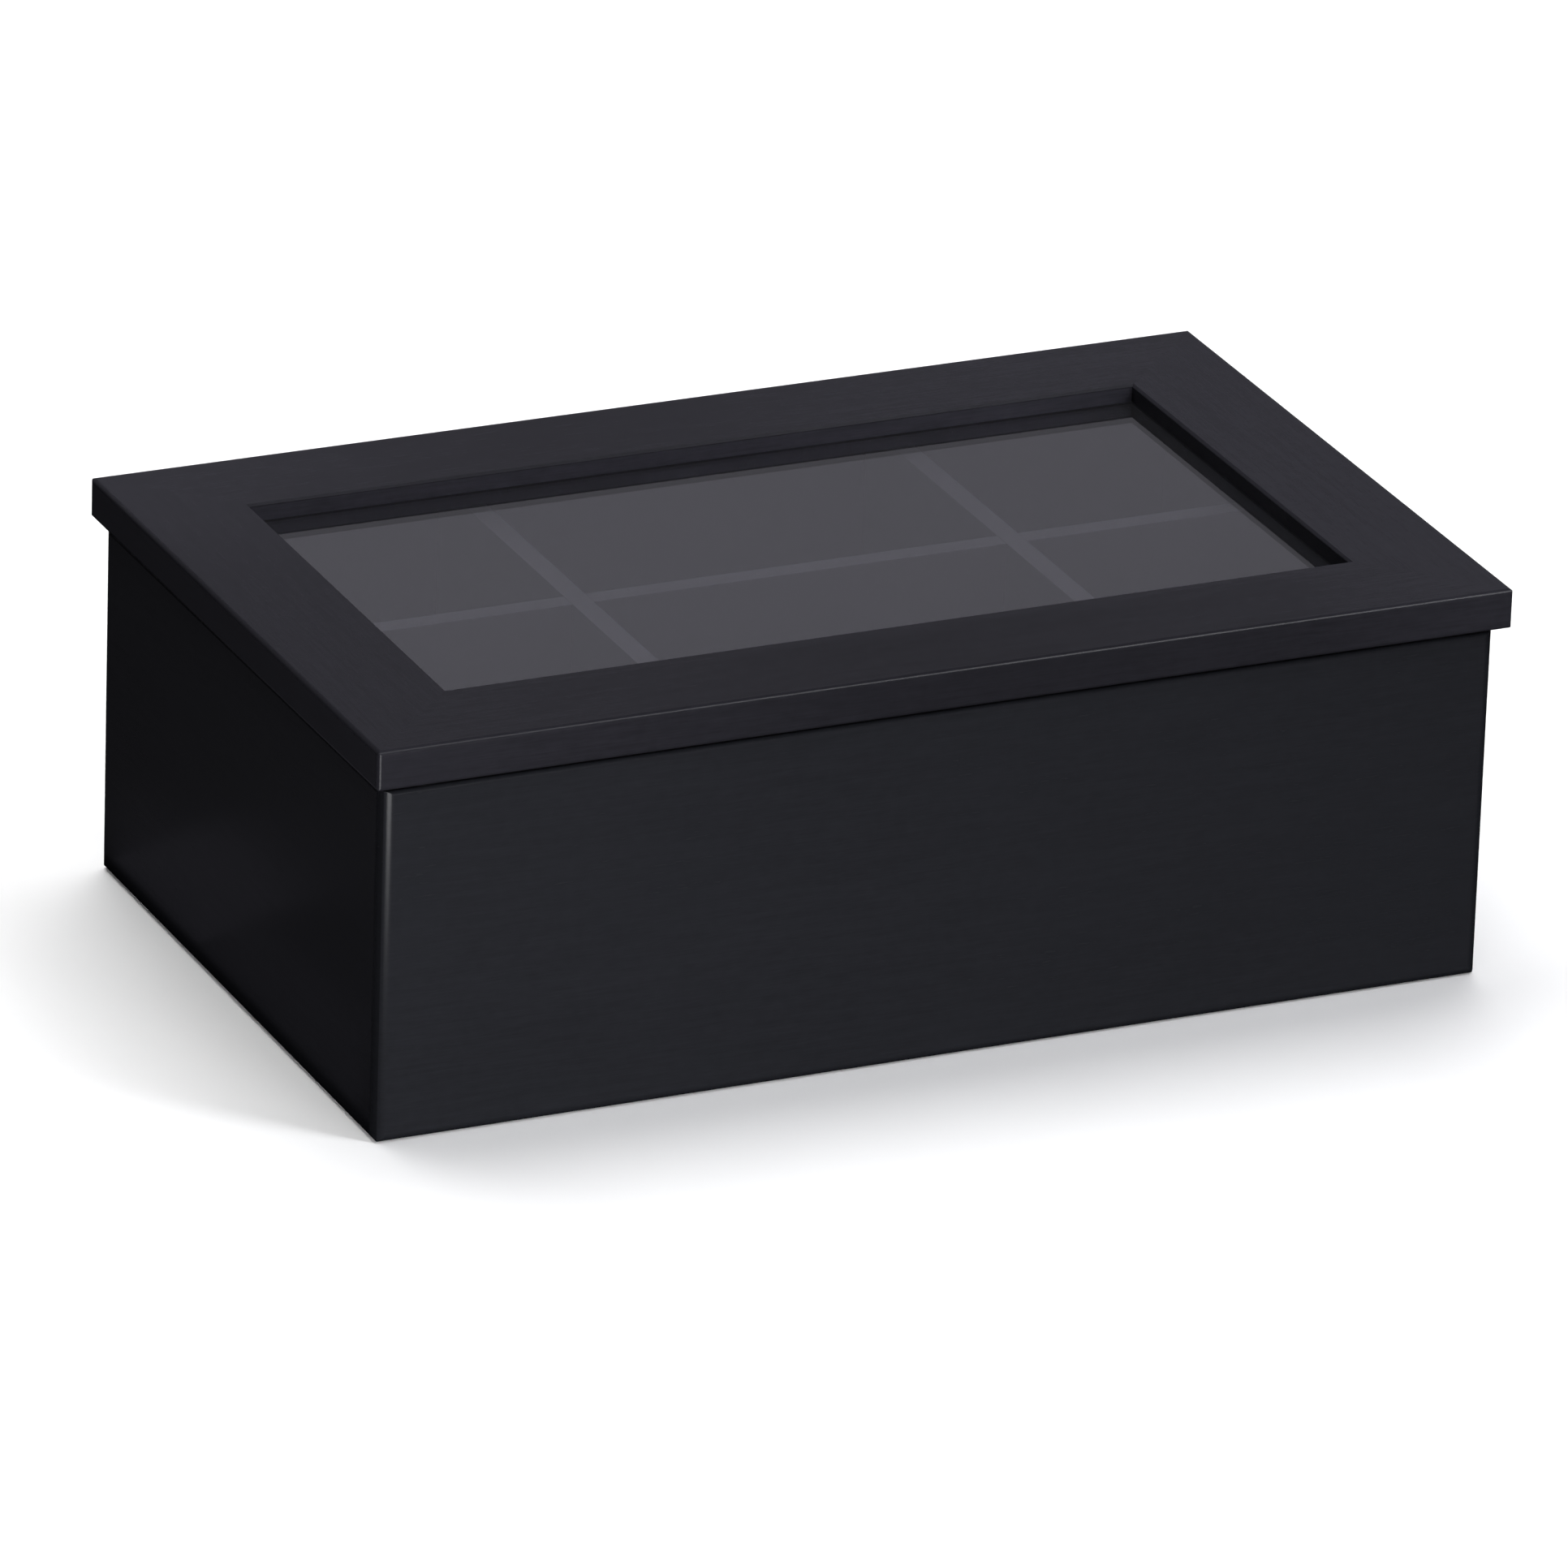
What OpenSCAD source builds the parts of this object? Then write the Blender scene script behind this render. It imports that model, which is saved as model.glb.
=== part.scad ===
// Tea bag organizer box: a mitred wooden box with six compartments
// and a back-hinged framed lid that carries a clear window.
// Units are millimetres. X is along the long side, -Y is the front,
// +Z is up. The origin is the middle of the box's underside.

/* [Lid] */
// overall length of the lid along X
lid_length = 260; // [220:1:320]
// overall depth of the lid along Y
lid_depth = 160; // [130:1:200]
// thickness of the lid frame
lid_thickness = 9; // [6:0.5:14]
// overall height, table to lid top
overall_height = 90; // [70:1:120]
// width of the four frame members
rail_width = 26; // [16:1:40]
// how far the window lies below the lid's top face
pane_drop = 4; // [1:0.5:6]
// window pane thickness
pane_thickness = 2; // [1.5:0.5:3]
// width of the ledge the window sits against
ledge = 5; // [3:0.5:8]
// edge rounding of the lid frame
lid_round = 1.0; // [0.4:0.1:2]

/* [Box] */
// lid overhang at each end
overhang_side = 2.3; // [0:0.1:6]
// lid overhang at the front
overhang_front = 3.0; // [0:0.1:6]
// lid overhang at the back
overhang_back = 2.5; // [1.8:0.1:6]
// gap between the lid's underside and the rim
lid_gap = 1.6; // [1.2:0.1:3]
// wall thickness
wall = 7; // [5:0.5:10]
// base panel thickness
base_thickness = 4; // [3:0.5:6]
// depth of the rebate the base panel sits in
base_rebate = 3.5; // [2:0.5:5]
// rounding of the upright corners
corner_round = 3.0; // [0.5:0.1:4]
// rounding of the rim's outer edge
edge_round = 0.9; // [0.4:0.1:2]
// rounding of the bottom edges
foot_round = 2.2; // [0.4:0.1:2.5]

/* [Dividers] */
// divider board thickness
divider_thickness = 4.8; // [3:0.1:8]
// distance of each cross divider from the middle
divider_offset = 50.5; // [35:0.1:60]
// depth of the grooves that hold the divider ends
groove_depth = 2; // [1:0.5:3]
// how far the dividers stand above the rim
divider_proud = 1.0; // [0:0.1:1]

/* [Hinges] */
// distance of each hinge from the middle
hinge_offset = 78; // [50:1:100]
// hinge width along X
hinge_width = 28; // [20:1:40]
// leaf sheet thickness
leaf_thickness = 0.8; // [0.6:0.1:1]
// leaf length away from the barrel
leaf_length = 14; // [10:0.5:18]
// barrel radius
barrel_radius = 1.5; // [1.2:0.1:2]
// hinge pin radius
pin_radius = 0.70; // [0.5:0.05:1]
// opening angle at which the stop tab meets the fixed leaf
stop_angle = 101; // [90:1:120]

/* [Hidden] */
$fn = 64;
eps = 0.01;
lx = lid_length / 2;
ly = lid_depth / 2;
z_top = overall_height;
z_under = z_top - lid_thickness;
z_rim = z_under - lid_gap;
win_x = lx - rail_width;
win_y = ly - rail_width;
z_pane = z_top - pane_drop;
z_bead = z_pane - pane_thickness;
bx = lx - overhang_side;
by0 = -ly + overhang_front;
by1 = ly - overhang_back;
bcy = (by0 + by1) / 2;
ix = bx - wall;
iy0 = by0 + wall;
iy1 = by1 - wall;
z_div = z_rim + divider_proud;
slot = divider_thickness + 0.2;
z_half = (base_thickness + z_div) / 2;
ax_y = by1 + 0.3 + barrel_radius;
ax_z = z_under - 0.3 - barrel_radius;
bore_radius = pin_radius + 0.05;
knuckle = 4.8;
screw_x = 9;
screw_r = 1.05;
pilot_r = 1.0;
lid_screw_y = iy1 - 2.9;
box_screw_z = ax_z - 9.7;
bead_w = ledge - 0.25;

// ---- shared shapes ----

// rectangle with four true arcs
module round_rect(sx, sy, r) {
  union() {
    square([sx - 2 * r, sy], center = true);
    square([sx, sy - 2 * r], center = true);
    for (i = [-1, 1], j = [-1, 1])
      translate([i * (sx / 2 - r), j * (sy / 2 - r)]) circle(r = r);
  }
}

// upright section whose top and bottom corners have their own radii
module section_rect(sx, z0, z1, rt, rb) {
  union() {
    translate([-sx / 2, z0 + rb]) square([sx, z1 - z0 - rt - rb]);
    translate([-sx / 2 + rb, z0]) square([sx - 2 * rb, rb + 1]);
    translate([-sx / 2 + rt, z1 - rt - 1]) square([sx - 2 * rt, rt + 1]);
    for (i = [-1, 1]) {
      translate([i * (sx / 2 - rb), z0 + rb]) circle(r = rb);
      translate([i * (sx / 2 - rt), z1 - rt]) circle(r = rt);
    }
  }
}

// block with every edge rounded: three crossed prisms
module round_block(sx, sy, z0, z1, rv, rt, rb) {
  intersection() {
    translate([0, 0, z0 - 1]) linear_extrude(height = z1 - z0 + 2) round_rect(sx, sy, rv);
    translate([-sx / 2 - 1, 0, 0]) rotate([90, 0, 90])
      linear_extrude(height = sx + 2) section_rect(sy, z0, z1, rt, rb);
    translate([0, sy / 2 + 1, 0]) rotate([90, 0, 0])
      linear_extrude(height = sy + 2) section_rect(sx, z0, z1, rt, rb);
  }
}

// plan wedge that leaves one side of a rectangle, mitred at both ends
// side: 0 front, 1 back, 2 left, 3 right
module wedge(hx, y0, y1, w, side, z0, z1) {
  o = 2;
  translate([0, 0, z0]) linear_extrude(height = z1 - z0)
    if (side == 0)
      polygon([[-hx - o, y0 - o], [hx + o, y0 - o], [hx - w, y0 + w], [-hx + w, y0 + w]]);
    else if (side == 1)
      polygon([[hx + o, y1 + o], [-hx - o, y1 + o], [-hx + w, y1 - w], [hx - w, y1 - w]]);
    else if (side == 2)
      polygon([[-hx - o, y1 + o], [-hx - o, y0 - o], [-hx + w, y0 + w], [-hx + w, y1 - w]]);
    else
      polygon([[hx + o, y0 - o], [hx + o, y1 + o], [hx - w, y1 - w], [hx - w, y0 + w]]);
}

// ---- box ----

module box_wall(side) {
  intersection() {
    difference() {
      translate([0, bcy, 0])
        round_block(2 * bx, by1 - by0, 0, z_rim, corner_round, edge_round, foot_round);
      // inside faces
      translate([-ix, iy0, -1]) cube([2 * ix, iy1 - iy0, z_rim + 2]);
      // rebate for the base panel
      translate([-ix - base_rebate, iy0 - base_rebate, -1])
        cube([2 * (ix + base_rebate), iy1 - iy0 + 2 * base_rebate, base_thickness + 1]);
      // grooves for the divider ends
      translate([-ix - groove_depth, bcy - slot / 2, base_thickness - 1])
        cube([2 * (ix + groove_depth), slot, z_rim]);
      for (s = [-1, 1])
        translate([s * divider_offset - slot / 2, iy0 - groove_depth, base_thickness - 1])
          cube([slot, iy1 - iy0 + 2 * groove_depth, z_rim]);
      // pilot holes for the hinge screws
      if (side == 1)
        for (h = [-1, 1], s = [-1, 1])
          translate([h * hinge_offset + s * screw_x, by1 + 1, box_screw_z])
            rotate([90, 0, 0]) cylinder(r = pilot_r, h = 1 + 5);
    }
    wedge(bx, by0, by1, wall, side, -1, z_rim + 1);
  }
}

module front_wall() { color([0.10, 0.10, 0.11]) box_wall(0); }
module back_wall() { color([0.10, 0.10, 0.11]) box_wall(1); }
module left_wall() { color([0.09, 0.09, 0.10]) box_wall(2); }
module right_wall() { color([0.09, 0.09, 0.10]) box_wall(3); }

module base_panel() {
  m = base_rebate - 0.1;
  color([0.12, 0.12, 0.13])
    translate([-ix - m, iy0 - m, 0])
      cube([2 * (ix + m), iy1 - iy0 + 2 * m, base_thickness]);
}

// ---- dividers ----

module long_divider() {
  e = groove_depth - 0.1;
  color([0.14, 0.14, 0.15]) difference() {
    translate([-ix - e, bcy - divider_thickness / 2, base_thickness])
      cube([2 * (ix + e), divider_thickness, z_div - base_thickness]);
    for (s = [-1, 1])
      translate([s * divider_offset - slot / 2, bcy - 5, z_half - 0.1])
        cube([slot, 10, z_div]);
  }
}

module cross_divider(s) {
  e = groove_depth - 0.1;
  difference() {
    translate([s * divider_offset - divider_thickness / 2, iy0 - e, base_thickness])
      cube([divider_thickness, iy1 - iy0 + 2 * e, z_div - base_thickness]);
    translate([s * divider_offset - 5, bcy - slot / 2, base_thickness - 1])
      cube([10, slot, z_half + 0.1 - base_thickness + 1]);
  }
}
module cross_divider_left() { color([0.14, 0.14, 0.15]) cross_divider(-1); }
module cross_divider_right() { color([0.14, 0.14, 0.15]) cross_divider(1); }

// ---- lid frame ----

// small 45 degree break along one side of the window's top edge
module window_break(side) {
  c = 0.5 * sqrt(2);
  if (side < 2)
    translate([0, (side == 0 ? -1 : 1) * win_y, z_top]) rotate([45, 0, 0])
      cube([2 * win_x + 4, c, c], center = true);
  else
    translate([(side == 2 ? -1 : 1) * win_x, 0, z_top]) rotate([0, 45, 0])
      cube([c, 2 * win_y + 4, c], center = true);
}

module lid_member(side) {
  intersection() {
    difference() {
      round_block(2 * lx, 2 * ly, z_under, z_top, lid_round, lid_round, lid_round);
      translate([-win_x, -win_y, z_under - 1])
        cube([2 * win_x, 2 * win_y, lid_thickness + 2]);
      translate([-win_x - ledge, -win_y - ledge, z_under - 1])
        cube([2 * (win_x + ledge), 2 * (win_y + ledge), z_pane - z_under + 1]);
      // break of the window edge, cut only along this member
      intersection() {
        window_break(side);
        wedge(lx, -ly, ly, rail_width + 1, side, z_top - 3, z_top + 3);
      }
      if (side == 1)
        for (h = [-1, 1], s = [-1, 1])
          translate([h * hinge_offset + s * screw_x, lid_screw_y, z_under - 1])
            cylinder(r = pilot_r, h = 1 + 5.8);
    }
    wedge(lx, -ly, ly, rail_width, side, z_under - 1, z_top + 1);
  }
}

module lid_front_rail() { color([0.13, 0.13, 0.14]) lid_member(0); }
module lid_back_rail() { color([0.13, 0.13, 0.14]) lid_member(1); }
module lid_left_stile() { color([0.12, 0.12, 0.13]) lid_member(2); }
module lid_right_stile() { color([0.12, 0.12, 0.13]) lid_member(3); }

module window_pane() {
  m = ledge - 0.3;
  color([0.75, 0.80, 0.82, 0.35])
    translate([-win_x - m, -win_y - m, z_bead])
      cube([2 * (win_x + m), 2 * (win_y + m), pane_thickness]);
}

// strip that holds the window up against its ledge
module bead(side) {
  g = ledge - 0.05;
  intersection() {
    difference() {
      translate([-win_x - g, -win_y - g, z_under + 0.2])
        cube([2 * (win_x + g), 2 * (win_y + g), z_bead - z_under - 0.2]);
      translate([-win_x - g + bead_w, -win_y - g + bead_w, z_under - 1])
        cube([2 * (win_x + g - bead_w), 2 * (win_y + g - bead_w), 10]);
    }
    wedge(win_x + g, -win_y - g, win_y + g, bead_w, side, z_under, z_bead + 1);
  }
}
module glazing_bead_front() { color([0.10, 0.10, 0.11]) bead(0); }
module glazing_bead_back() { color([0.10, 0.10, 0.11]) bead(1); }
module glazing_bead_left() { color([0.10, 0.10, 0.11]) bead(2); }
module glazing_bead_right() { color([0.10, 0.10, 0.11]) bead(3); }

// two soft pads under the lid's front corners
module lid_bumpers() {
  color([0.25, 0.25, 0.26])
    for (s = [-1, 1])
      translate([s * (ix - 4), by0 + wall - 2.9, z_rim + 0.1])
        cylinder(r = 2.5, h = lid_gap - 0.1);
}

// ---- hinges ----

module box_leaf(h) {
  translate([h * hinge_offset, 0, 0]) difference() {
    union() {
      // plate against the back wall
      translate([-hinge_width / 2, by1, ax_z - leaf_length])
        cube([hinge_width, leaf_thickness, leaf_length - barrel_radius - 0.3]);
      for (s = [-1, 1]) {
        x0 = s > 0 ? knuckle + 0.2 : -hinge_width / 2;
        w = hinge_width / 2 - knuckle - 0.2;
        // ears up to the barrel
        translate([x0, by1, ax_z - barrel_radius - 0.31])
          cube([w, leaf_thickness, barrel_radius + 0.31]);
        translate([x0, ax_y, ax_z]) rotate([0, 90, 0]) cylinder(r = barrel_radius, h = w);
      }
    }
    translate([-hinge_width, ax_y, ax_z]) rotate([0, 90, 0])
      cylinder(r = bore_radius, h = 2 * hinge_width);
    for (s = [-1, 1])
      translate([s * screw_x, by1 + 3, box_screw_z]) rotate([90, 0, 0])
        cylinder(r = screw_r + 0.1, h = 6);
  }
}

module lid_leaf(h) {
  translate([h * hinge_offset, 0, 0]) difference() {
    union() {
      // plate under the lid
      translate([-hinge_width / 2, ax_y - leaf_length, z_under - leaf_thickness])
        cube([hinge_width, by1 - ax_y + leaf_length, leaf_thickness]);
      // tongue back to the barrel
      translate([-knuckle, by1 - eps, z_under - leaf_thickness])
        cube([2 * knuckle, ax_y - by1 + eps, leaf_thickness]);
      translate([-knuckle, ax_y, ax_z]) rotate([0, 90, 0])
        cylinder(r = barrel_radius, h = 2 * knuckle);
      // stop tab: turned by the stop angle it stands against the fixed leaf
      translate([0, ax_y, ax_z]) rotate([stop_angle, 0, 0])
        translate([-knuckle, -(ax_y - by1 - leaf_thickness), -3.4])
          cube([2 * knuckle, 0.9, 3.4]);
    }
    translate([-hinge_width, ax_y, ax_z]) rotate([0, 90, 0])
      cylinder(r = bore_radius, h = 2 * hinge_width);
    for (s = [-1, 1])
      translate([s * screw_x, lid_screw_y, z_under - 3])
        cylinder(r = screw_r + 0.1, h = 6);
  }
}

module hinge_pin(h) {
  translate([h * hinge_offset, ax_y, ax_z]) rotate([0, 90, 0]) {
    translate([0, 0, -hinge_width / 2 - 0.5]) cylinder(r = pin_radius, h = hinge_width + 1);
    for (s = [-1, 1])
      translate([0, 0, s > 0 ? hinge_width / 2 : -hinge_width / 2 - 0.5])
        cylinder(r = 1.15, h = 0.5);
  }
}

module hinge_left_box_leaf() { color([0.72, 0.60, 0.36]) box_leaf(-1); }
module hinge_left_lid_leaf() { color([0.72, 0.60, 0.36]) lid_leaf(-1); }
module hinge_left_pin() { color([0.60, 0.60, 0.60]) hinge_pin(-1); }
module hinge_right_box_leaf() { color([0.72, 0.60, 0.36]) box_leaf(1); }
module hinge_right_lid_leaf() { color([0.72, 0.60, 0.36]) lid_leaf(1); }
module hinge_right_pin() { color([0.60, 0.60, 0.60]) hinge_pin(1); }

// round-head screw pointing +Z, head underside at z = 0
module screw(len) {
  difference() {
    union() {
      cylinder(r = screw_r, h = len);
      translate([0, 0, -0.8]) cylinder(r = 1.9, h = 0.8);
    }
    for (a = [0, 90])
      rotate([0, 0, a]) translate([-1.1, -0.22, -1.8]) cube([2.2, 0.44, 1.5]);
  }
}

module hinge_screws_box() {
  color([0.72, 0.60, 0.36])
    for (h = [-1, 1], s = [-1, 1])
      translate([h * hinge_offset + s * screw_x, by1 + leaf_thickness, box_screw_z])
        rotate([90, 0, 0]) screw(5.5);
}

module hinge_screws_lid() {
  color([0.72, 0.60, 0.36])
    for (h = [-1, 1], s = [-1, 1])
      translate([h * hinge_offset + s * screw_x, lid_screw_y, z_under - leaf_thickness])
        screw(6.3);
}

front_wall();
back_wall();
left_wall();
right_wall();
base_panel();
long_divider();
cross_divider_left();
cross_divider_right();
lid_front_rail();
lid_back_rail();
lid_left_stile();
lid_right_stile();
window_pane();
glazing_bead_front();
glazing_bead_back();
glazing_bead_left();
glazing_bead_right();
lid_bumpers();
hinge_left_box_leaf();
hinge_left_lid_leaf();
hinge_left_pin();
hinge_right_box_leaf();
hinge_right_lid_leaf();
hinge_right_pin();
hinge_screws_box();
hinge_screws_lid();
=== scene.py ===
"""Looks of the tea bag organizer box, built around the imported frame."""
import math

import bmesh
import bpy
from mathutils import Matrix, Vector

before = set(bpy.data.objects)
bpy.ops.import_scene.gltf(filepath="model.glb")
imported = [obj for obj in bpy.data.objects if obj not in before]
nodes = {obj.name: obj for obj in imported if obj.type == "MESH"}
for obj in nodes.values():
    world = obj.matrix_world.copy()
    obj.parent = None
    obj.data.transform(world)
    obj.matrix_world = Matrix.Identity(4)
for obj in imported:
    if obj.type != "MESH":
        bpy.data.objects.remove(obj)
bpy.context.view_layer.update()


# ---------------------------------------------------------------- node helpers
class Mat:
    """A small wrapper that keeps the node code readable."""

    def __init__(self, name):
        self.m = bpy.data.materials.new(name)
        self.m.use_nodes = True
        self.t = self.m.node_tree
        self.t.nodes.clear()
        self.out = self.t.nodes.new("ShaderNodeOutputMaterial")
        self.coord = None

    def n(self, kind, **props):
        node = self.t.nodes.new(kind)
        for k, v in props.items():
            setattr(node, k, v)
        return node

    def link(self, a, b):
        self.t.links.new(a, b)

    def obj(self):
        if self.coord is None:
            self.coord = self.n("ShaderNodeTexCoord")
        return self.coord.outputs["Object"]

    def mapping(self, scale, rot=(0, 0, 0), loc=(0, 0, 0), src=None):
        mp = self.n("ShaderNodeMapping")
        mp.inputs["Scale"].default_value = scale
        mp.inputs["Rotation"].default_value = rot
        mp.inputs["Location"].default_value = loc
        self.link(src or self.obj(), mp.inputs["Vector"])
        return mp.outputs["Vector"]

    def noise(self, vec, scale, detail=2.0, rough=0.5, dist=0.0):
        t = self.n("ShaderNodeTexNoise")
        t.inputs["Scale"].default_value = scale
        t.inputs["Detail"].default_value = detail
        t.inputs["Roughness"].default_value = rough
        t.inputs["Distortion"].default_value = dist
        self.link(vec, t.inputs["Vector"])
        return t.outputs["Fac"]

    def ramp(self, fac, stops):
        r = self.n("ShaderNodeValToRGB")
        e = r.color_ramp.elements
        while len(e) < len(stops):
            e.new(0.5)
        for el, (p, c) in zip(e, stops):
            el.position = p
            el.color = (*c, 1) if len(c) == 3 else c
        self.link(fac, r.inputs["Fac"])
        return r.outputs["Color"]

    def span(self, fac, lo, hi, a=0.0, b=1.0, kind="LINEAR"):
        r = self.n("ShaderNodeMapRange", interpolation_type=kind)
        for i, v in zip(("From Min", "From Max", "To Min", "To Max"), (lo, hi, a, b)):
            r.inputs[i].default_value = v
        self.link(fac, r.inputs["Value"])
        return r.outputs["Result"]

    def math(self, op, a, b):
        r = self.n("ShaderNodeMath", operation=op)
        for i, v in enumerate((a, b)):
            if isinstance(v, (int, float)):
                r.inputs[i].default_value = v
            else:
                self.link(v, r.inputs[i])
        return r.outputs["Value"]

    def mix(self, fac, a, b, kind="MIX"):
        r = self.n("ShaderNodeMix", data_type="RGBA", blend_type=kind)
        for i, v in ((0, fac), (6, a), (7, b)):
            if isinstance(v, (int, float)):
                r.inputs[i].default_value = v
            elif isinstance(v, tuple):
                r.inputs[i].default_value = (*v, 1)
            else:
                self.link(v, r.inputs[i])
        return r.outputs[2]

    def bump(self, height, strength, dist, normal=None):
        b = self.n("ShaderNodeBump")
        b.inputs["Strength"].default_value = strength
        b.inputs["Distance"].default_value = dist
        self.link(height, b.inputs["Height"])
        if normal is not None:
            self.link(normal, b.inputs["Normal"])
        return b.outputs["Normal"]

    def shader(self, **vals):
        p = self.n("ShaderNodeBsdfPrincipled")
        for k, v in vals.items():
            k = k.replace("_", " ")
            if isinstance(v, (int, float, tuple)):
                p.inputs[k].default_value = (*v, 1) if isinstance(v, tuple) and len(v) == 3 and k != "Radius" else v
            else:
                self.link(v, p.inputs[k])
        self.link(p.outputs["BSDF"], self.out.inputs["Surface"])
        return p


def lacquer(name, axis, base, spec=0.085, rough=0.23, var=1.0, grain=1.0, seed=0.0, painted_shading_box=None, painted_shading_factor=0.3, top=None, lid=False):
    """Black satin lacquer over fine straight grain that runs along one axis."""
    m = Mat(name)

    def along(length, width):
        sc = [1 / width] * 3
        sc[axis] = 1 / length
        return tuple(sc)

    streak = m.noise(m.mapping(along(0.016, 0.0008), loc=(seed, seed * 0.7, seed * 1.3)), 1.0, 3.0, 0.62)
    fibre = m.noise(m.mapping(along(0.0045, 0.00035), loc=(seed * 2, 1.1, 2.3)), 1.0, 2.0, 0.6)
    band = m.noise(m.mapping(along(0.16, 0.012), loc=(4.1, seed, 0.9)), 1.0, 2.0, 0.5)
    mottle = m.noise(m.obj(), 420.0, 2.0, 0.55)
    cloud = m.noise(m.obj(), 13.0, 3.0, 0.55)
    g = m.math("ADD", m.math("MULTIPLY", m.span(streak, 0.28, 0.72), 0.42), m.math("MULTIPLY", m.span(fibre, 0.28, 0.72), 0.30))
    g = m.math("ADD", g, m.math("MULTIPLY", m.span(mottle, 0.3, 0.7), 0.16))
    g = m.math("ADD", g, m.math("MULTIPLY", m.span(band, 0.3, 0.7), 0.12))
    d = 0.20 * var
    col = m.ramp(g, [(0.22, tuple(c * (1 - d) for c in base)), (0.5, base), (0.80, tuple(c * (1 + d) for c in base))])
    col = m.mix(m.span(cloud, 0.35, 0.7, 0.0, 0.30), col, tuple(c * 1.14 for c in base))
    if painted_shading_box or top:
        # painted shading: faces that look into the box or the window are multiplied by a factor, below 1 for painted
        # shade inside the box, on the divider sides and on the window's right recess wall, above 1 for painted light
        # on its back recess wall
        ax = m.n("ShaderNodeSeparateXYZ")
        m.link(m.obj(), ax.inputs[0])
        if painted_shading_box:
            painted_shading_mask = m.math("MULTIPLY", m.math("LESS_THAN", m.math("ABSOLUTE", ax.outputs["X"], 0), painted_shading_box[0]),
                           m.math("LESS_THAN", m.math("ABSOLUTE", ax.outputs["Y"], 0), painted_shading_box[1]))
            if top:
                painted_shading_mask = m.math("MULTIPLY", painted_shading_mask, m.math("LESS_THAN", ax.outputs["Z"], top))
        else:
            painted_shading_mask = m.math("LESS_THAN", ax.outputs["Z"], top)
        col = m.mix(painted_shading_mask, col, m.mix(1.0, col, (painted_shading_factor, painted_shading_factor, painted_shading_factor), "MULTIPLY"))
    if lid:
        # painted shading over the whole lid, so the mitres stay quiet: lighter towards the right, a painted shade
        # patch on the middle of the front rail, and the front face painted 1.06 times lighter
        ax = m.n("ShaderNodeSeparateXYZ")
        m.link(m.obj(), ax.inputs[0])
        x, y = ax.outputs["X"], ax.outputs["Y"]
        slow = m.span(x, -0.02, 0.10, 1.00, 1.22, "SMOOTHSTEP")
        mid = m.math("MULTIPLY", m.span(x, -0.12, 0.02, 0, 1, "SMOOTHSTEP"), m.span(x, 0.075, 0.125, 1, 0, "SMOOTHSTEP"))
        dip = m.math("MULTIPLY", mid, m.span(y, -0.062, -0.048, 0.24, 0.0, "SMOOTHSTEP"))
        edge = m.span(y, -0.0798, -0.0790, 1.06, 1.0)
        painted_lid_shading = m.math("MULTIPLY", m.math("MULTIPLY", slow, m.math("SUBTRACT", 1.0, dip)), edge)
        grey = m.n("ShaderNodeCombineXYZ")
        for i in range(3):
            m.link(painted_lid_shading, grey.inputs[i])
        col = m.mix(1.0, col, grey.outputs[0], "MULTIPLY")
    r = m.math("ADD", m.span(g, 0.2, 0.8, rough + 0.035, rough - 0.025), m.span(cloud, 0.3, 0.7, -0.015, 0.025))
    nrm = m.bump(m.span(mottle, 0.3, 0.7), 0.05 * grain, 0.00002)
    nrm = m.bump(g, 0.16 * grain, 0.00004, nrm)
    m.shader(Base_Color=col, Roughness=r, Normal=nrm, Specular_IOR_Level=spec)
    return m.m


def tone(c, k):
    return tuple(v * k for v in c)


BOX = (0.0114, 0.0119, 0.0144)
LID = (0.0134, 0.0131, 0.0165)
mat = {
    # painted shade: inside the box (|x| < 0.1212 m, |y| < 0.0711 m) both wall lacquers are painted darker, at 0.42
    "box_x": lacquer("box_lacquer_x", 0, BOX, spec=0.070, seed=0.0, var=0.8, painted_shading_box=(0.1212, 0.0711), painted_shading_factor=0.42),
    # painted shade: the left and right walls use a copy of the box lacquer at 0.57 of its brightness, darker than the
    # front and back
    "box_y": lacquer("box_lacquer_y", 1, tone(BOX, 0.57), seed=3.0, var=0.8, grain=0.25, painted_shading_box=(0.1212, 0.0711), painted_shading_factor=0.42),
    "lid_x": lacquer("lid_lacquer_x", 0, LID, seed=7.0, spec=0.045, rough=0.20, lid=True),
    # painted light: the faces of the back rail and its bead that look into the window (|y| < 0.05412 m, below z
    # 0.0893 m) are painted lighter, at 1.85
    "lid_back": lacquer("lid_lacquer_back", 0, LID, seed=9.0, spec=0.045, rough=0.20, lid=True,
                        painted_shading_box=(0.2, 0.05412), painted_shading_factor=1.85, top=0.0893),
    "lid_y": lacquer("lid_lacquer_y", 1, LID, seed=11.0, spec=0.045, rough=0.20, lid=True, var=0.7),
    # painted shade: the faces of the right stile and its bead that look into the window (|x| < 0.10412 m, below z
    # 0.0893 m) are painted darker, at 0.6
    "lid_right": lacquer("lid_lacquer_right", 1, LID, seed=13.0, spec=0.045, rough=0.20, lid=True, var=0.7,
                         painted_shading_box=(0.10412, 0.2), painted_shading_factor=0.6, top=0.0893),
    # painted shade: the divider sides below z 0.0800 m are painted darker, at 0.62, while their top edges keep the
    # full tone
    "div_x": lacquer("divider_lacquer_x", 0, (0.0075, 0.0074, 0.0092), seed=17.0, rough=0.36, spec=0.15, top=0.0800, painted_shading_factor=0.62),
    "div_y": lacquer("divider_lacquer_y", 1, (0.0075, 0.0074, 0.0092), seed=21.0, rough=0.36, spec=0.15, top=0.0800, painted_shading_factor=0.62),
    "base": lacquer("base_lacquer", 0, (0.0058, 0.0060, 0.0073), seed=29.0, rough=0.48, spec=0.10),
}


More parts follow.
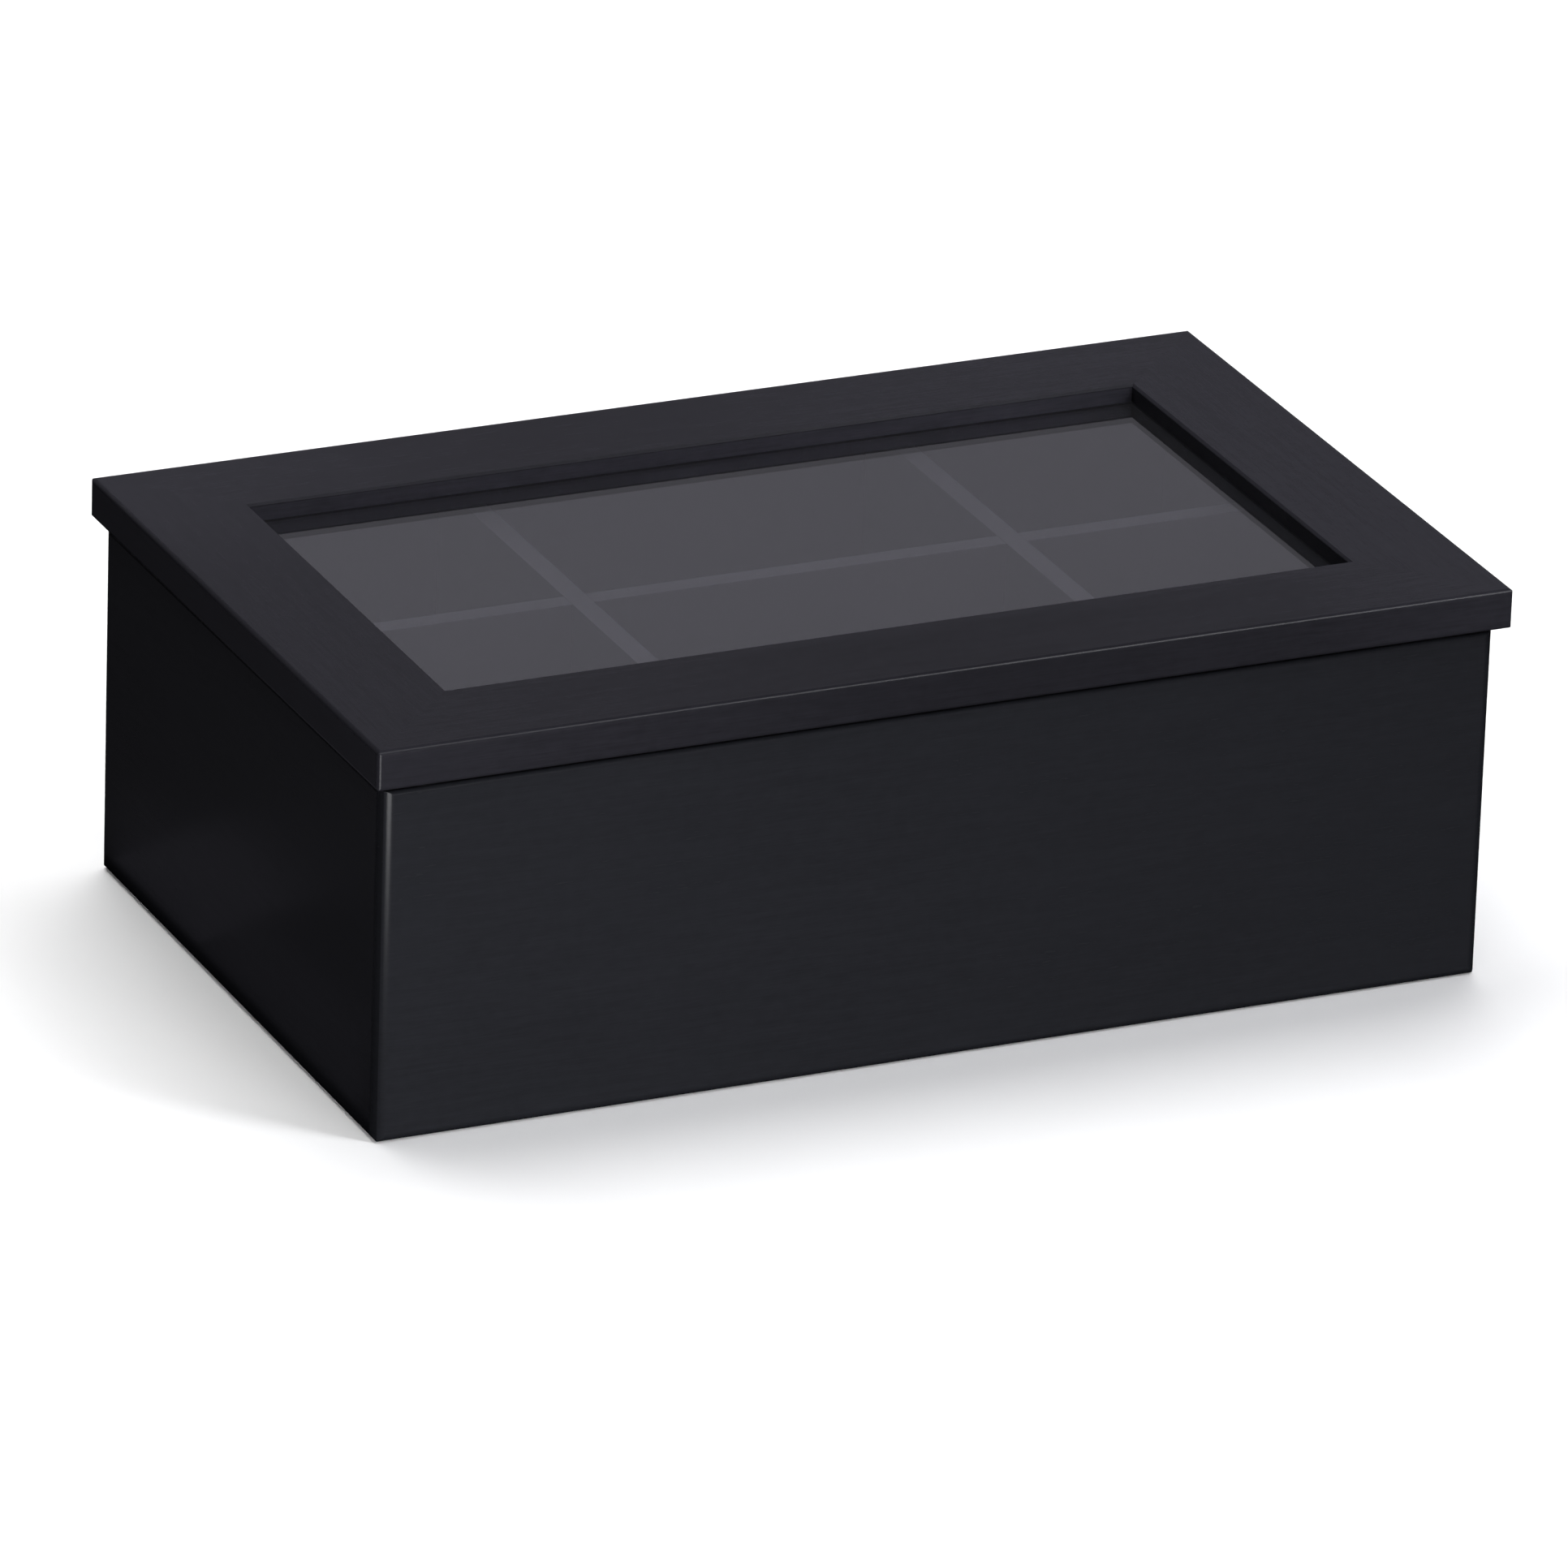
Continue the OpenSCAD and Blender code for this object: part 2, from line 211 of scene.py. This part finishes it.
def clear_sheet():
    m = Mat("clear_window")
    smear = m.noise(m.mapping((14, 22, 14), rot=(0, 0, 0.5)), 1.0, 4.0, 0.6, 0.4)
    wave = m.noise(m.obj(), 9.0, 1.0, 0.5)
    r = m.span(smear, 0.35, 0.75, 0.0, 0.02)
    # painted light: the sheet glows faintly (emission strength 0.0045, bluish, shifting with the smear) as a painted
    # haze over its reflection
    m.shader(Base_Color=(0.92, 0.92, 0.97), Transmission_Weight=1.0, IOR=1.49, Roughness=r,
             Emission_Color=m.mix(m.span(smear, 0.3, 0.7), (0.86, 0.88, 1.0), (0.92, 0.92, 1.0)), Emission_Strength=0.0045,
             Normal=m.bump(wave, 0.005, 0.0002))
    return m.m


def metal(name, base, dark, rough):
    m = Mat(name)
    brush = m.noise(m.mapping((60, 900, 900)), 1.0, 2.0, 0.6)
    tarn = m.noise(m.obj(), 160.0, 4.0, 0.6)
    col = m.mix(m.span(tarn, 0.45, 0.75, 0.0, 0.7), base, dark)
    r = m.math("ADD", m.span(brush, 0.3, 0.7, rough - 0.06, rough + 0.08), m.span(tarn, 0.4, 0.8, 0.0, 0.15))
    m.shader(Base_Color=col, Metallic=1.0, Roughness=r, Normal=m.bump(brush, 0.15, 0.00003))
    return m.m


def rubber():
    m = Mat("bumper_soft")
    n1 = m.noise(m.obj(), 900.0, 3.0, 0.6)
    n2 = m.noise(m.obj(), 120.0, 2.0, 0.5)
    col = m.mix(m.span(n2, 0.3, 0.7), (0.012, 0.012, 0.012), (0.02, 0.02, 0.021))
    m.shader(Base_Color=col, Roughness=m.span(n1, 0.3, 0.7, 0.5, 0.68), Normal=m.bump(n1, 0.3, 0.00004))
    return m.m


mat["pane"] = clear_sheet()
mat["brass"] = metal("hinge_metal", (0.50, 0.38, 0.18), (0.22, 0.15, 0.07), 0.30)
mat["steel"] = metal("pin_steel", (0.50, 0.50, 0.51), (0.28, 0.27, 0.26), 0.34)
mat["pad"] = rubber()

for name, o in nodes.items():
    if name in ("front_wall", "back_wall"):
        k = "box_x"
    elif name in ("left_wall", "right_wall"):
        k = "box_y"
    elif name == "base_panel":
        k = "base"
    elif name == "long_divider":
        k = "div_x"
    elif name.startswith("cross_divider"):
        k = "div_y"
    elif name in ("lid_front_rail", "glazing_bead_front"):
        k = "lid_x"
    elif name in ("lid_back_rail", "glazing_bead_back"):
        k = "lid_back"
    elif name in ("lid_left_stile", "glazing_bead_left"):
        k = "lid_y"
    elif name in ("lid_right_stile", "glazing_bead_right"):
        k = "lid_right"
    elif name == "window_pane":
        k = "pane"
    elif name == "lid_bumpers":
        k = "pad"
    elif name.endswith("_pin"):
        k = "steel"
    else:
        k = "brass"
    o.data.materials.clear()
    o.data.materials.append(mat[k])
    for p in o.data.polygons:
        p.material_index = 0


# ---------------------------------------------------------------- floor, light, camera
def floor():
    bm = bmesh.new()
    s = 6.0
    vs = [bm.verts.new(p) for p in ((-s, -s, 0), (s, -s, 0), (s, s, 0), (-s, s, 0))]
    bm.faces.new(vs)
    me = bpy.data.meshes.new("floor")
    bm.to_mesh(me)
    bm.free()
    o = bpy.data.objects.new("floor", me)
    bpy.context.scene.collection.objects.link(o)
    m = Mat("floor_paper")
    f = m.noise(m.obj(), 30.0, 3.0, 0.5)
    col = m.mix(m.span(f, 0.3, 0.7), (0.955, 0.955, 0.955), (0.975, 0.975, 0.975))
    m.shader(Base_Color=col, Roughness=0.7, Specular_IOR_Level=0.0,
             Emission_Color=(1.0, 1.0, 0.99), Emission_Strength=0.03)
    me.materials.append(m.m)
    o.visible_glossy = False
    o.visible_diffuse = False
    o.visible_shadow = False
    return o


floor()


def area(name, loc, target, size, power, size_y=None, color=(1, 1, 1)):
    l = bpy.data.lights.new(name, "AREA")
    l.shape = "RECTANGLE"
    l.size = size
    l.size_y = size_y or size
    l.energy = power
    l.color = color
    o = bpy.data.objects.new(name, l)
    o.location = loc
    o.rotation_mode = "QUATERNION"
    o.rotation_quaternion = (Vector(target) - Vector(loc)).to_track_quat("-Z", "Y")
    bpy.context.scene.collection.objects.link(o)
    return o


top = area("top_soft", (-0.01, 0.42, 1.10), (0.02, 0.02, 0), 1.2, 15.6, 0.9)
area("key_soft", (-0.23, -0.42, 0.062), (-0.02, 0, 0.05), 0.26, 1.35, 0.10)
area("rim_soft", (0.05, -0.97, 0.18), (0, -0.07, 0.08), 0.30, 2.1, 0.16)
edge = area("edge_soft", (0.52, -0.69, 0.96), (0.05, -0.05, 0.09), 0.25, 7.4, 1.0, (0.96, 0.97, 1.0))
arris = area("arris_soft", (0.52, -0.69, 0.96), (0.05, -0.05, 0.09), 0.25, 22.0, 0.4, (0.96, 0.97, 1.0))
near = area("near_soft", (0.45, -0.10, 1.0), (-0.126, 0.076, 0.09), 0.10, 22.0)
near.data = bpy.data.lights.new("near_soft_spot", "SPOT")
near.data.energy, near.data.spot_size, near.data.spot_blend = 24.0, math.radians(6.5), 1.0
near.data.shadow_soft_size = 0.03
back = area("back_soft", (-0.10, 0.95, 0.15), (0, 0.08, 0.06), 0.4, 2.2, 0.2)
corner = area("corner_soft", (-0.205, -0.245, 0.012), (-0.13, -0.08, 0.085), 0.10, 0.38, 0.04)
for o in (top, near, edge):
    o.visible_glossy = False
for o in (arris, corner):
    o.visible_diffuse = False
for o in (corner, back):
    o.visible_camera = False


def card(name, corners, level, z=0.0005):
    """A board on the floor that shows only in the gloss of the side above it."""
    bm = bmesh.new()
    bm.faces.new([bm.verts.new((x, y, z)) for x, y in corners])
    me = bpy.data.meshes.new(name)
    bm.to_mesh(me)
    bm.free()
    o = bpy.data.objects.new(name, me)
    bpy.context.scene.collection.objects.link(o)
    m = Mat(name)
    f = m.noise(m.obj(), 12.0, 2.0, 0.5)
    m.shader(Base_Color=(0.02, 0.02, 0.02), Roughness=0.9, Specular_IOR_Level=0.0,
             Emission_Color=m.mix(f, (0.95, 0.91, 1.16), (1.0, 0.96, 1.2)), Emission_Strength=level)
    me.materials.append(m.m)
    for k in ("camera", "diffuse", "shadow", "transmission", "volume_scatter"):
        setattr(o, "visible_" + k, False)


card("side_card", [(-0.131, -0.10), (-0.131, 0.11), (-0.20, 0.34), (-0.45, 0.34), (-0.45, -0.10)], 0.035)
card("foot_card", [(-0.1315, -0.06), (-0.1315, 0.078), (-0.150, 0.118), (-0.150, -0.02)], 0.066, 0.0008)
card("glow_card", [(-0.1315, 0.030), (-0.1315, 0.078), (-0.165, 0.094), (-0.165, 0.046)], 0.10, 0.001)

scene = bpy.context.scene
scene.view_settings.view_transform = "Standard"
world = bpy.data.worlds.new("studio")
scene.world = world
world.use_nodes = True
wt = world.node_tree
bg = wt.nodes["Background"]
tc = wt.nodes.new("ShaderNodeTexCoord")
sep = wt.nodes.new("ShaderNodeSeparateXYZ")
wt.links.new(tc.outputs["Generated"], sep.inputs[0])


def wramp(src, stops):
    r = wt.nodes.new("ShaderNodeValToRGB")
    e = r.color_ramp.elements
    while len(e) < len(stops):
        e.new(0.5)
    for el, (p, c) in zip(e, stops):
        el.position = p
        el.color = (*c, 1)
    wt.links.new(src, r.inputs["Fac"])
    return r.outputs["Color"]


def wspan(src, lo, hi, kind="SMOOTHSTEP"):
    r = wt.nodes.new("ShaderNodeMapRange")
    r.interpolation_type = kind
    r.inputs["From Min"].default_value = lo
    r.inputs["From Max"].default_value = hi
    wt.links.new(src, r.inputs["Value"])
    return r.outputs["Result"]


# above the horizon a pale wall that is brightest behind on the right and dim to the left;
# below it a table that is lit in front and dark behind
wall = wramp(wspan(sep.outputs["X"], -0.35, 0.75, "LINEAR"), [
    (0.0, (0.029, 0.029, 0.033)), (0.30, (0.086, 0.084, 0.096)), (0.52, (0.272, 0.266, 0.302)),
    (0.62, (0.290, 0.284, 0.321)), (0.78, (0.246, 0.240, 0.272)), (1.0, (0.195, 0.191, 0.214))])
height = wramp(sep.outputs["Z"], [(0.0, (1, 1, 1)), (0.52, (1, 1, 1)), (0.75, (0.35, 0.35, 0.35)), (1.0, (0.5, 0.5, 0.5))])
sm = wt.nodes.new("ShaderNodeMix")
sm.data_type = "RGBA"
sm.blend_type = "MULTIPLY"
sm.inputs[0].default_value = 1.0
wt.links.new(wall, sm.inputs[6])
wt.links.new(height, sm.inputs[7])


def lobe(direction, lo, hi, color):
    d = wt.nodes.new("ShaderNodeVectorMath")
    d.operation = "DOT_PRODUCT"
    d.inputs[1].default_value = Vector(direction).normalized()
    wt.links.new(tc.outputs["Generated"], d.inputs[0])
    return wramp(wspan(d.outputs["Value"], lo, hi), [(0.0, (0, 0, 0)), (1.0, color)])


table = lobe((0.386, -0.835, -0.392), 0.70, 0.96, (0.43, 0.43, 0.46))
wm = wt.nodes.new("ShaderNodeMix")
wm.data_type = "RGBA"
wt.links.new(wspan(sep.outputs["Z"], -0.12, 0.02), wm.inputs[0])
wt.links.new(table, wm.inputs[6])
wt.links.new(sm.outputs[2], wm.inputs[7])
wt.links.new(wm.outputs[2], bg.inputs["Color"])
bg.inputs["Strength"].default_value = 1.0


def camera():
    az, el, ro = math.radians(-24.794), math.radians(23.076), math.radians(1.934)
    back = Vector((math.sin(az) * math.cos(el), -math.cos(az) * math.cos(el), math.sin(el)))
    fwd = -back
    right = fwd.cross(Vector((0, 0, 1))).normalized()
    up = right.cross(fwd)
    r = math.cos(ro) * right + math.sin(ro) * up
    u = -math.sin(ro) * right + math.cos(ro) * up
    c = Vector((0, 0, 0.045)) + back * 3.12172 + r * -0.001715 + u * -0.011959
    cam = bpy.data.cameras.new("camera")
    cam.lens = 18000 / 1932 * 36
    cam.sensor_width = 36
    cam.clip_start, cam.clip_end = 0.1, 50
    o = bpy.data.objects.new("camera", cam)
    from mathutils import Matrix

    m = Matrix.Identity(4)
    for i in range(3):
        m[i][0], m[i][1], m[i][2], m[i][3] = r[i], u[i], back[i], c[i]
    o.matrix_world = m
    bpy.context.scene.collection.objects.link(o)
    bpy.context.scene.camera = o


camera()
